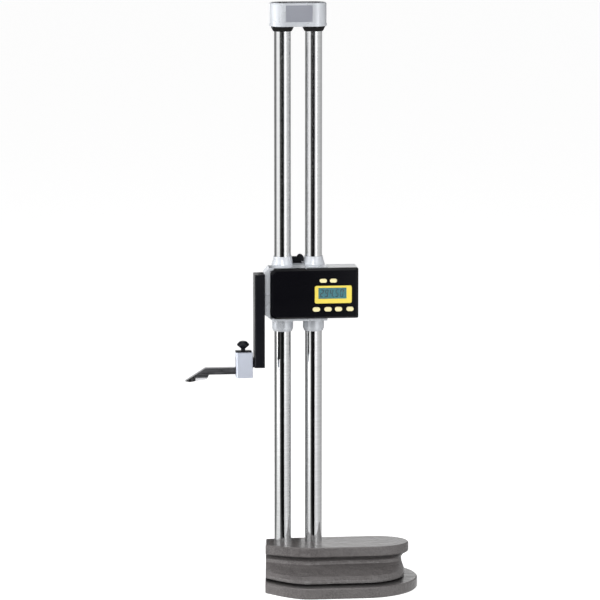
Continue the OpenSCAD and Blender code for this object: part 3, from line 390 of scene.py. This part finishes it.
def new_group(name, in_sockets, out_sockets):
    """A shader node group with named sockets, those going in each with a start value."""
    group = bpy.data.node_groups.new(name, "ShaderNodeTree")
    for socket_name, start in in_sockets.items():
        socket = group.interface.new_socket(name=socket_name, in_out="INPUT", socket_type=FLOAT)
        socket.default_value = start
    for socket_name in out_sockets:
        group.interface.new_socket(name=socket_name, in_out="OUTPUT", socket_type=FLOAT)
    entry = group.nodes.new("NodeGroupInput").outputs
    leave = group.nodes.new("NodeGroupOutput").inputs
    place = add_node(group, "ShaderNodeTexCoord").outputs["Object"]
    return group, entry, leave, place


def use_group(tree, group, **inputs):
    """Places a group in a material, joins its inputs and gives its outputs."""
    return add_node(tree, "ShaderNodeGroup", {"node_tree": group}, **inputs).outputs


print("group helpers are ready")

# %% Fine grain
PATCH_SCALE = 18.0
NOISE_LOW, NOISE_HIGH = 0.3, 0.7

grain_group, entry, leave, place = new_group(
    "fine_grain", {"Scale": 900.0, "Contrast": 1.0}, ["Mask", "Patches"])
fine = add_node(grain_group, "ShaderNodeTexNoise", None,
                Vector=place, Scale=entry["Scale"], Detail=2.0)
broad = add_node(grain_group, "ShaderNodeTexNoise", None,
                 Vector=place, Scale=PATCH_SCALE, Detail=4.0)
stretched = add_node(grain_group, "ShaderNodeMapRange", None, Value=fine.outputs["Fac"],
                     From_Min=NOISE_LOW, From_Max=NOISE_HIGH)
scaled = add_node(grain_group, "ShaderNodeMath", {"operation": "MULTIPLY"},
                  in0=stretched.outputs["Result"], in1=entry["Contrast"])
grain_group.links.new(scaled.outputs[0], leave["Mask"])
grain_group.links.new(broad.outputs["Fac"], leave["Patches"])
print("effect group:", grain_group.name)

# %% Ground lines
ground_group, entry, leave, place = new_group(
    "ground_lines", {"Along X": 1.0, "Along Y": 1.0, "Along Z": 0.02, "Scale": 1500.0}, ["Lines"])
stretch = add_node(ground_group, "ShaderNodeCombineXYZ", None,
                   X=entry["Along X"], Y=entry["Along Y"], Z=entry["Along Z"])
drawn = add_node(ground_group, "ShaderNodeVectorMath", {"operation": "MULTIPLY"},
                 in0=place, in1=stretch.outputs[0])
lines = add_node(ground_group, "ShaderNodeTexNoise", None,
                 Vector=drawn.outputs[0], Scale=entry["Scale"], Detail=3.0)
ground_group.links.new(lines.outputs["Fac"], leave["Lines"])
print("effect group:", ground_group.name)

# %% Hammered dimples
WARP_SCALE = 90.0
WARP_BY = 0.006
DIMPLE_SMOOTHNESS = 0.6
VEIN_WIDTH = 0.25

hammer_group, entry, leave, place = new_group("hammered", {"Scale": 320.0}, ["Height", "Veins"])
warp = add_node(hammer_group, "ShaderNodeTexNoise", None,
                Vector=place, Scale=WARP_SCALE, Detail=2.0)
bent = add_node(hammer_group, "ShaderNodeVectorMath", {"operation": "MULTIPLY_ADD"},
                in0=warp.outputs["Color"], in1=(WARP_BY, WARP_BY, WARP_BY), in2=place)
cells = add_node(hammer_group, "ShaderNodeTexVoronoi", {"feature": "SMOOTH_F1"},
                 Vector=bent.outputs[0], Scale=entry["Scale"], Smoothness=DIMPLE_SMOOTHNESS)
rims = add_node(hammer_group, "ShaderNodeTexVoronoi", {"feature": "DISTANCE_TO_EDGE"},
                Vector=bent.outputs[0], Scale=entry["Scale"])
vein = add_node(hammer_group, "ShaderNodeMapRange", None, Value=rims.outputs["Distance"],
                From_Min=0.0, From_Max=VEIN_WIDTH)
hammer_group.links.new(cells.outputs["Distance"], leave["Height"])
hammer_group.links.new(vein.outputs["Result"], leave["Veins"])
print("effect group:", hammer_group.name)

# %% [markdown]
# ## The base's hammered paint
#
# Cast bases of workshop gauges get a thick stoved paint that pulls into small dimples while it
# dries. It hides the rough casting and keeps rust out. A picture of such paint would need careful
# unwrapping, so the dimples come from a cell pattern. The cells make the bump, and their rims hold
# a little more pigment.

# %% Colour of the base's paint
BASE_PAINT = (0.106, 0.098, 0.097)
PATCHES_SHARE = 1.1

base_paint, tree, shader = finish_material("base_paint", BASE_PAINT, 0.34,
                                           Coat_Weight=0.5, Coat_Roughness=0.16)
hammer = use_group(tree, hammer_group, Scale=330.0)
grain = use_group(tree, grain_group, Scale=700.0, Contrast=1.0)
mottling = add_node(tree, "ShaderNodeMath", {"operation": "MULTIPLY_ADD"},
                    in0=grain["Patches"], in1=PATCHES_SHARE, in2=hammer["Veins"])
colour = ramp(tree, mottling.outputs[0], [
    (0.3, shade(BASE_PAINT, 0.66)), (0.75, shade(BASE_PAINT, 0.95)), (1.0, shade(BASE_PAINT, 1.25))])
print("base paint:", BASE_PAINT)

# %% [markdown]
# ## Painted shade in the base's corners
#
# The shade that falls in the two inner corners, above the foot and under the flange, is painted
# into the paint's colour here. Both corners run round the base at one height each, so a ramp over
# the height darkens them. A mask painted by hand would say the same with far more work.

# %% Paint shade into the corners
FOOT_TOP = 0.0151
FLANGE_UNDER = 0.0459
RAMP_TOP = 0.06
SHARP_END = 0.0002
FOOT_SHADE_BAND = 0.005
FLANGE_SHADE_BAND = 0.007
FLANGE_SHADE_DARKEST = 0.002
# The second of these is the factor of the painted shade at its darkest; the first leaves the colour as
# it is.
PLAIN, PAINTED_SHADE = grey(1.0), grey(0.08)

place = add_node(tree, "ShaderNodeTexCoord").outputs["Object"]
height = add_node(tree, "ShaderNodeSeparateXYZ", None, Vector=place).outputs["Z"]
height_share = add_node(tree, "ShaderNodeMath", {"operation": "DIVIDE"}, in0=height, in1=RAMP_TOP)
# Painted shade: these stops darken the colour in a thin band just above the foot and in a band under
# the flange.
painted_shade_stops = [
    (FOOT_TOP, PLAIN), (FOOT_TOP + SHARP_END, PAINTED_SHADE), (FOOT_TOP + FOOT_SHADE_BAND, PLAIN),
    (FLANGE_UNDER - FLANGE_SHADE_BAND, PLAIN), (FLANGE_UNDER - FLANGE_SHADE_DARKEST, PAINTED_SHADE),
    (FLANGE_UNDER, PAINTED_SHADE), (FLANGE_UNDER + 1.5 * SHARP_END, PLAIN),
]
painted_shade_factor = ramp(tree, height_share.outputs[0], [(z / RAMP_TOP, tone) for z, tone in painted_shade_stops])
with_painted_shade = add_node(tree, "ShaderNodeVectorMath", {"operation": "MULTIPLY"},
                      in0=colour, in1=painted_shade_factor)
tree.links.new(with_painted_shade.outputs[0], shader.inputs["Base Color"])
print("dark corners at", FOOT_TOP, "and", FLANGE_UNDER, "m")

# %% [markdown]
# ## Bumps of the base
#
# Two bumps lie over each other. The casting under the paint is slightly lumpy, which bends the
# highlights over several millimetres, and the dimples of the paint break them up further.

# %% Lumps and dimples
LUMP_SCALE = 75.0
LUMP_HEIGHT = 0.0035
DIMPLE_HEIGHT = 0.0006

lumps = add_node(tree, "ShaderNodeTexNoise", None, Vector=place, Scale=LUMP_SCALE, Detail=3.0)
lump_bump = add_node(tree, "ShaderNodeBump", None, Height=lumps.outputs["Fac"],
                     Strength=0.8, Distance=LUMP_HEIGHT)
bump = add_node(tree, "ShaderNodeBump", None, Height=hammer["Height"],
                Strength=0.35, Distance=DIMPLE_HEIGHT, Normal=lump_bump.outputs["Normal"])
tree.links.new(bump.outputs["Normal"], shader.inputs["Normal"])
print("lumps", LUMP_HEIGHT, "m and dimples", DIMPLE_HEIGHT, "m high")

# %% [markdown]
# ## Sprayed paint and moulded skins
#
# The slider, the cap and the housing are sprayed silver and grey, and the panel, keys and frame
# are moulded. All of these are one even colour with a fine grain in tone, gloss and bump, so one
# function makes them all, and each finish is a line with its own numbers. The silver paint holds
# metal flakes, which a small share of Metallic stands for. The black arm and the satin clamp box
# are plated, but their dull skin looks much like paint, so the same function makes them.

# %% Painted and moulded finishes
GRAIN_SHARE = 0.35
GRAIN_HEIGHT = 0.0001


def painted(name, colour, roughness, grain_scale=1600.0, bump_strength=0.12, metallic=0.0,
            **more):
    """Sprayed paint or a moulded skin: an even colour with a fine grain in colour and bump."""
    material, tree, shader = finish_material(name, colour, roughness, metallic, **more)
    grain = use_group(tree, grain_group, Scale=grain_scale, Contrast=1.0)
    mixed = add_node(tree, "ShaderNodeMath", {"operation": "MULTIPLY_ADD"},
                     in0=grain["Mask"], in1=GRAIN_SHARE, in2=grain["Patches"])
    tint = ramp(tree, mixed.outputs[0], [(0.3, shade(colour, 0.94)), (1.0, shade(colour, 1.06))])
    tree.links.new(tint, shader.inputs["Base Color"])
    rough = add_node(tree, "ShaderNodeMapRange", None, Value=grain["Patches"],
                     From_Min=NOISE_LOW, From_Max=NOISE_HIGH,
                     To_Min=roughness * 0.85, To_Max=roughness * 1.15)
    tree.links.new(rough.outputs["Result"], shader.inputs["Roughness"])
    bump = add_node(tree, "ShaderNodeBump", None, Height=grain["Mask"],
                    Strength=bump_strength, Distance=GRAIN_HEIGHT)
    tree.links.new(bump.outputs["Normal"], shader.inputs["Normal"])
    return material


satin_silver = painted("satin_silver", (0.65, 0.675, 0.715), 0.28, 2200.0, 0.1, metallic=0.35)
housing_grey = painted("housing_grey", (0.76, 0.77, 0.79), 0.42, 2200.0, 0.1)
blank_grey = painted("blank_grey", (0.27, 0.28, 0.32), 0.4, 2500.0, 0.05, metallic=0.2)
panel_black = painted("panel_black", (0.003, 0.003, 0.0045), 0.22, 1800.0, 0.03,
                      Specular_IOR_Level=0.15)
key_cream = painted("key_cream", (0.88, 0.80, 0.44), 0.34, 2600.0, 0.05)
frame_gold = painted("frame_gold", (0.86, 0.70, 0.11), 0.3, 2600.0, 0.04)
inner_black = painted("inner_black", (0.02, 0.02, 0.02), 0.5)
wheel_black = painted("wheel_black", (0.009, 0.009, 0.01), 0.4, 1500.0, 0.15,
                      Specular_IOR_Level=0.35)
stop_rubber = painted("stop_rubber", (0.006, 0.006, 0.006), 0.65, 1200.0, 0.3,
                      Specular_IOR_Level=0.2)
mat_grey = painted("mat_grey", (0.15, 0.15, 0.15), 0.8)
board_green = painted("board_green", (0.02, 0.13, 0.05), 0.4)
disc_white = painted("disc_white", (0.75, 0.75, 0.75), 0.4)
lcd_teal = painted("lcd_teal", (0.032, 0.215, 0.27), 0.3, 3000.0, 0.0)
clamp_satin = painted("clamp_satin", (0.63, 0.67, 0.77), 0.3, 2000.0, 0.08, metallic=0.3)
arm_black = painted("arm_black", (0.004, 0.0045, 0.007), 0.3, 1800.0, 0.08,
                    Specular_IOR_Level=0.3)
black_screw = painted("black_screw", (0.02, 0.02, 0.022), 0.35, 1800.0, 0.08, metallic=0.6)
print("painted and moulded finishes are ready")

# %% [markdown]
# ## Ground and plated metal
#
# The columns are hard chromed and ground round, so they mirror the room with only the finest
# lines round them. The rack and the scriber are ground flat along their length. The metal colour
# stays nearly plain in all of them: the look comes from how roughness changes across the lines.

# %% Metal finishes
LINE_SCALE = 1500.0
LINE_HEIGHT = 0.00005


def ground_metal(name, colour, roughness, along, bump_strength=0.1):
    """Bare or plated metal, ground in one direction: along is the stretch on x, y and z."""
    material, tree, shader = finish_material(name, colour, roughness, 1.0)
    lines = use_group(tree, ground_group, Scale=LINE_SCALE,
                      Along_X=along[0], Along_Y=along[1], Along_Z=along[2])
    rough = add_node(tree, "ShaderNodeMapRange", None, Value=lines["Lines"],
                     From_Min=NOISE_LOW, From_Max=NOISE_HIGH,
                     To_Min=roughness * 0.7, To_Max=roughness * 1.35)
    tree.links.new(rough.outputs["Result"], shader.inputs["Roughness"])
    tint = ramp(tree, lines["Lines"], [(0.25, shade(colour, 0.9)), (0.75, shade(colour, 1.06))])
    tree.links.new(tint, shader.inputs["Base Color"])
    bump = add_node(tree, "ShaderNodeBump", None, Height=lines["Lines"],
                    Strength=bump_strength, Distance=LINE_HEIGHT)
    tree.links.new(bump.outputs["Normal"], shader.inputs["Normal"])
    return material


column_chrome = ground_metal("column_chrome", (0.86, 0.87, 0.88), 0.09, (0.03, 0.03, 1.0), 0.04)
rack_steel = ground_metal("rack_steel", (0.42, 0.43, 0.44), 0.3, (1.0, 0.03, 1.0))
screw_steel = ground_metal("screw_steel", (0.55, 0.55, 0.56), 0.28, (1.0, 1.0, 0.05))
cell_steel = ground_metal("cell_steel", (0.6, 0.6, 0.6), 0.25, (1.0, 1.0, 0.05))
scriber_steel = ground_metal("scriber_steel", (0.30, 0.30, 0.32), 0.3, (0.03, 1.0, 1.0))
carbide = ground_metal("carbide", (0.33, 0.33, 0.34), 0.25, (1.0, 1.0, 0.1))
bronze = ground_metal("bronze", (0.55, 0.38, 0.17), 0.35, (1.0, 1.0, 0.05))
print("metal finishes are ready")

# %% [markdown]
# ## The scriber's ground end, with a painted highlight
#
# The scriber's end is ground after hardening, so its lower facet is brighter than the bar behind
# it. The same steel is used for both: a mask made from the place along and above the bar's end
# lightens the colour where the grinding wheel passed, and makes the metal there mostly diffuse.
# Part of that brightness is the ground steel, and part is a painted highlight. A second material
# would need the facet as a piece of its own.

# %% Ground end of the scriber, with a painted highlight
END_LENGTH = 0.031
END_FADE = 0.002
FACET_HEIGHT = 0.0052
FACET_FADE = 0.0015
# The facet's colour: partly the lighter ground steel, partly a painted highlight.
GROUND_AND_HIGHLIGHT = (0.78, 0.78, 0.80, 1.0)
# A mix node has sockets for each kind of value. These are the places of those for colours.
MIX_FACTOR, MIX_FROM, MIX_TO, MIX_RESULT = 0, 6, 7, 2

scriber_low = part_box("scriber")[0]
end_x = scriber_low[0] + END_LENGTH
facet_z = scriber_low[2] + FACET_HEIGHT
tree = scriber_steel.node_tree
shader = tree.nodes["Principled BSDF"]
bar_colour = shader.inputs["Base Color"].links[0].from_socket
place = add_node(tree, "ShaderNodeTexCoord").outputs["Object"]
parts = add_node(tree, "ShaderNodeSeparateXYZ", None, Vector=place).outputs
near_end = add_node(tree, "ShaderNodeMapRange", None, Value=parts["X"],
                    From_Min=end_x, From_Max=end_x - END_FADE)
on_facet = add_node(tree, "ShaderNodeMapRange", None, Value=parts["Z"],
                    From_Min=facet_z, From_Max=facet_z - FACET_FADE)
both = add_node(tree, "ShaderNodeMath", {"operation": "MULTIPLY"},
                in0=near_end.outputs["Result"], in1=on_facet.outputs["Result"])
lightened = add_node(tree, "ShaderNodeMix", {"data_type": "RGBA"})
tree.links.new(both.outputs[0], lightened.inputs[MIX_FACTOR])
tree.links.new(bar_colour, lightened.inputs[MIX_FROM])
lightened.inputs[MIX_TO].default_value = GROUND_AND_HIGHLIGHT
tree.links.new(lightened.outputs[MIX_RESULT], shader.inputs["Base Color"])
# Painted highlight: the facet is made mostly diffuse, so its light colour shows bright from every
# side.
sheen = add_node(tree, "ShaderNodeMapRange", None, Value=both.outputs[0],
                 To_Min=1.0, To_Max=0.25)
tree.links.new(sheen.outputs["Result"], shader.inputs["Metallic"])
print("the scriber's end is ground bright over", END_LENGTH, "m")

# %% [markdown]
# ## Clear window
#
# The display's window is thin clear plastic. Plain transmission shows the display behind it, and
# a low roughness gives the small highlight. Painting it dark and glossy would hide the reading.

# %% Window finish
window_clear = finish_material("window_clear", (0.93, 0.98, 0.97), 0.04,
                               Transmission_Weight=1.0, IOR=1.45)[0]
print("window finish is ready")

# %% [markdown]
# ## Dressing the solids
#
# The model's record says which material slot each solid has. Here each slot's name is joined to
# one of the finishes, and a loop puts it on. Naming the finish of each solid by hand would be a
# longer list, and a solid could be forgotten.

# %% Give every solid its finish
finish_of_slot = {
    "base_paint": base_paint, "satin_silver": satin_silver, "housing_grey": housing_grey,
    "blank_grey": blank_grey, "panel_black": panel_black, "key_cream": key_cream,
    "frame_gold": frame_gold, "inner_black": inner_black, "wheel_black": wheel_black,
    "stop_rubber": stop_rubber, "mat_grey": mat_grey, "board_green": board_green,
    "disc_white": disc_white, "lcd_teal": lcd_teal, "column_chrome": column_chrome,
    "rack_steel": rack_steel, "screw_steel": screw_steel, "cell_steel": cell_steel,
    "clamp_satin": clamp_satin, "scriber_steel": scriber_steel, "carbide": carbide,
    "bronze": bronze, "arm_black": arm_black, "black_screw": black_screw,
    "window_clear": window_clear,
}
for part in frame["record"]["subparts"]:
    solid = frame["nodes"][part["node"]]
    for material_slot in solid.material_slots:
        material_slot.material = finish_of_slot[part["material_slot"]]

# %% [markdown]
# ## Soft edges
#
# No real edge is perfectly sharp. Castings come out of the mould rounded, plastics more so, and
# even ground steel has its edges broken. A rounded edge catches a thin line of light, and that
# line is what tells the eye how large and how heavy a thing is. The solids have crisp edges, so a
# bevel modifier rounds them here. A modifier leaves the solid itself as it is.

# %% Round the edges
BEVEL_ANGLE = math.radians(30)
MM = 0.001
EDGE_RADII = {
    "base_casting": 0.8, "top_cap": 1.4, "cap_plate": 0.3, "bump_stops": 0.4,
    "slider_casting": 0.7, "front_panel": 0.35, "display_housing": 0.8, "lcd_frame": 0.35,
    "key_top_left": 0.9, "key_top_right": 0.9, "key_low_1": 0.9, "key_low_2": 0.9,
    "key_low_3": 0.9, "key_low_4": 0.9, "battery_cover": 0.3, "port_cover": 0.3,
    "feed_handwheel": 0.5, "wheel_screw": 0.2, "clamp_lever": 0.5, "scriber_arm": 0.5,
    "arm_screws": 0.2, "scriber_clamp": 0.4, "pressure_plate": 0.25, "thumb_screw": 0.35,
    "scriber": 0.25, "scriber_tip": 0.1, "housing_screws": 0.15, "cap_screws": 0.2,
}


def soften(piece, width):
    """Rounds a piece's sharp edges, as casting, moulding or deburring leaves them."""
    bevel = piece.modifiers.new("soft_edges", "BEVEL")
    bevel.width = width
    bevel.segments = 3
    bevel.limit_method = "ANGLE"
    bevel.angle_limit = BEVEL_ANGLE
    bevel.harden_normals = False


for node_name, radius in EDGE_RADII.items():
    soften(frame["nodes"][node_name], radius * MM)
print("solids with soft edges:", len(EDGE_RADII))

# %% [markdown]
# ## The reading on the display
#
# A liquid crystal display of this kind shows each digit with seven bars. Which bars are dark
# makes the digit, so a short table is all that the reading needs. Text in a font would have to be
# made into a mesh, and its curves would look wrong here. Digits of this kind lean a little.

# %% Seven-segment bars
BAR = 0.0013
BAR_GAP = 0.6 * BAR
SLANT = 0.14
INK_OFF_GLASS = 0.00004
bars_of_digit = {
    "0": "abcdef", "1": "bc", "2": "abdeg", "3": "abcdg", "4": "bcfg",
    "5": "acdfg", "6": "acdefg", "7": "abc", "8": "abcdefg", "9": "abcdfg",
}
lcd_low, lcd_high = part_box("lcd_module")
lcd_width = lcd_high[0] - lcd_low[0]
lcd_height = lcd_high[2] - lcd_low[2]
digits_left = lcd_low[0] + 0.05 * lcd_width
digits_bottom = lcd_low[2] + 0.14 * lcd_height
digit_step = 0.168 * lcd_width
digit_width = 0.118 * lcd_width
digit_height = 0.70 * lcd_height
ink_y = lcd_low[1] - INK_OFF_GLASS


def add_bar(mesh_data, x0, z0, x1, z1):
    """One dark bar between two opposite corners, leaning like the digits do."""
    corners = []
    for x, z in ((x0, z0), (x1, z0), (x1, z1), (x0, z1)):
        lean = SLANT * (z - digits_bottom)
        corners.append(mesh_data.verts.new((x + lean, ink_y, z)))
    mesh_data.faces.new(corners)


def digit_bars(left):
    """The corners of a digit's seven bars, by their usual letters, for a digit that starts at left."""
    x0, x1 = left, left + digit_width
    z0, z1 = digits_bottom, digits_bottom + digit_height
    middle = (z0 + z1) / 2
    return {
        "a": (x0 + BAR_GAP, z1 - BAR, x1 - BAR_GAP, z1),
        "b": (x1 - BAR, middle + BAR_GAP, x1, z1 - BAR_GAP),
        "c": (x1 - BAR, z0 + BAR_GAP, x1, middle - BAR_GAP),
        "d": (x0 + BAR_GAP, z0, x1 - BAR_GAP, z0 + BAR),
        "e": (x0, z0 + BAR_GAP, x0 + BAR, middle - BAR_GAP),
        "f": (x0, middle + BAR_GAP, x0 + BAR, z1 - BAR_GAP),
        "g": (x0 + BAR_GAP, middle - BAR / 2, x1 - BAR_GAP, middle + BAR / 2),
    }


print("room for the reading:", round(lcd_width, 4), "by", round(lcd_height, 4), "m")

# %% [markdown]
# ## Writing the digits
#
# The digits in the photograph are too small to read, so the reading is the height in millimetres
# of the scriber's lower edge in the model. The bars are one thin piece just in front of the
# display, and it rides with the slider like the display itself.

# %% Write the reading
READING = "294.50"
reading_mesh = bmesh.new()
pen_x = digits_left
for sign in READING:
    if sign == ".":
        dot_x = pen_x - digit_step + digit_width + 0.4 * BAR
        add_bar(reading_mesh, dot_x, digits_bottom, dot_x + BAR, digits_bottom + BAR)
        pen_x += BAR
    else:
        bars = digit_bars(pen_x)
        for bar in bars_of_digit[sign]:
            add_bar(reading_mesh, *bars[bar])
        pen_x += digit_step
reading = new_object("lcd_reading", reading_mesh)
lcd_ink = finish_material("lcd_ink", (0.004, 0.012, 0.03), 0.5)[0]
reading.data.materials.append(lcd_ink)
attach(reading, "slider")
print("reading on the display:", READING)
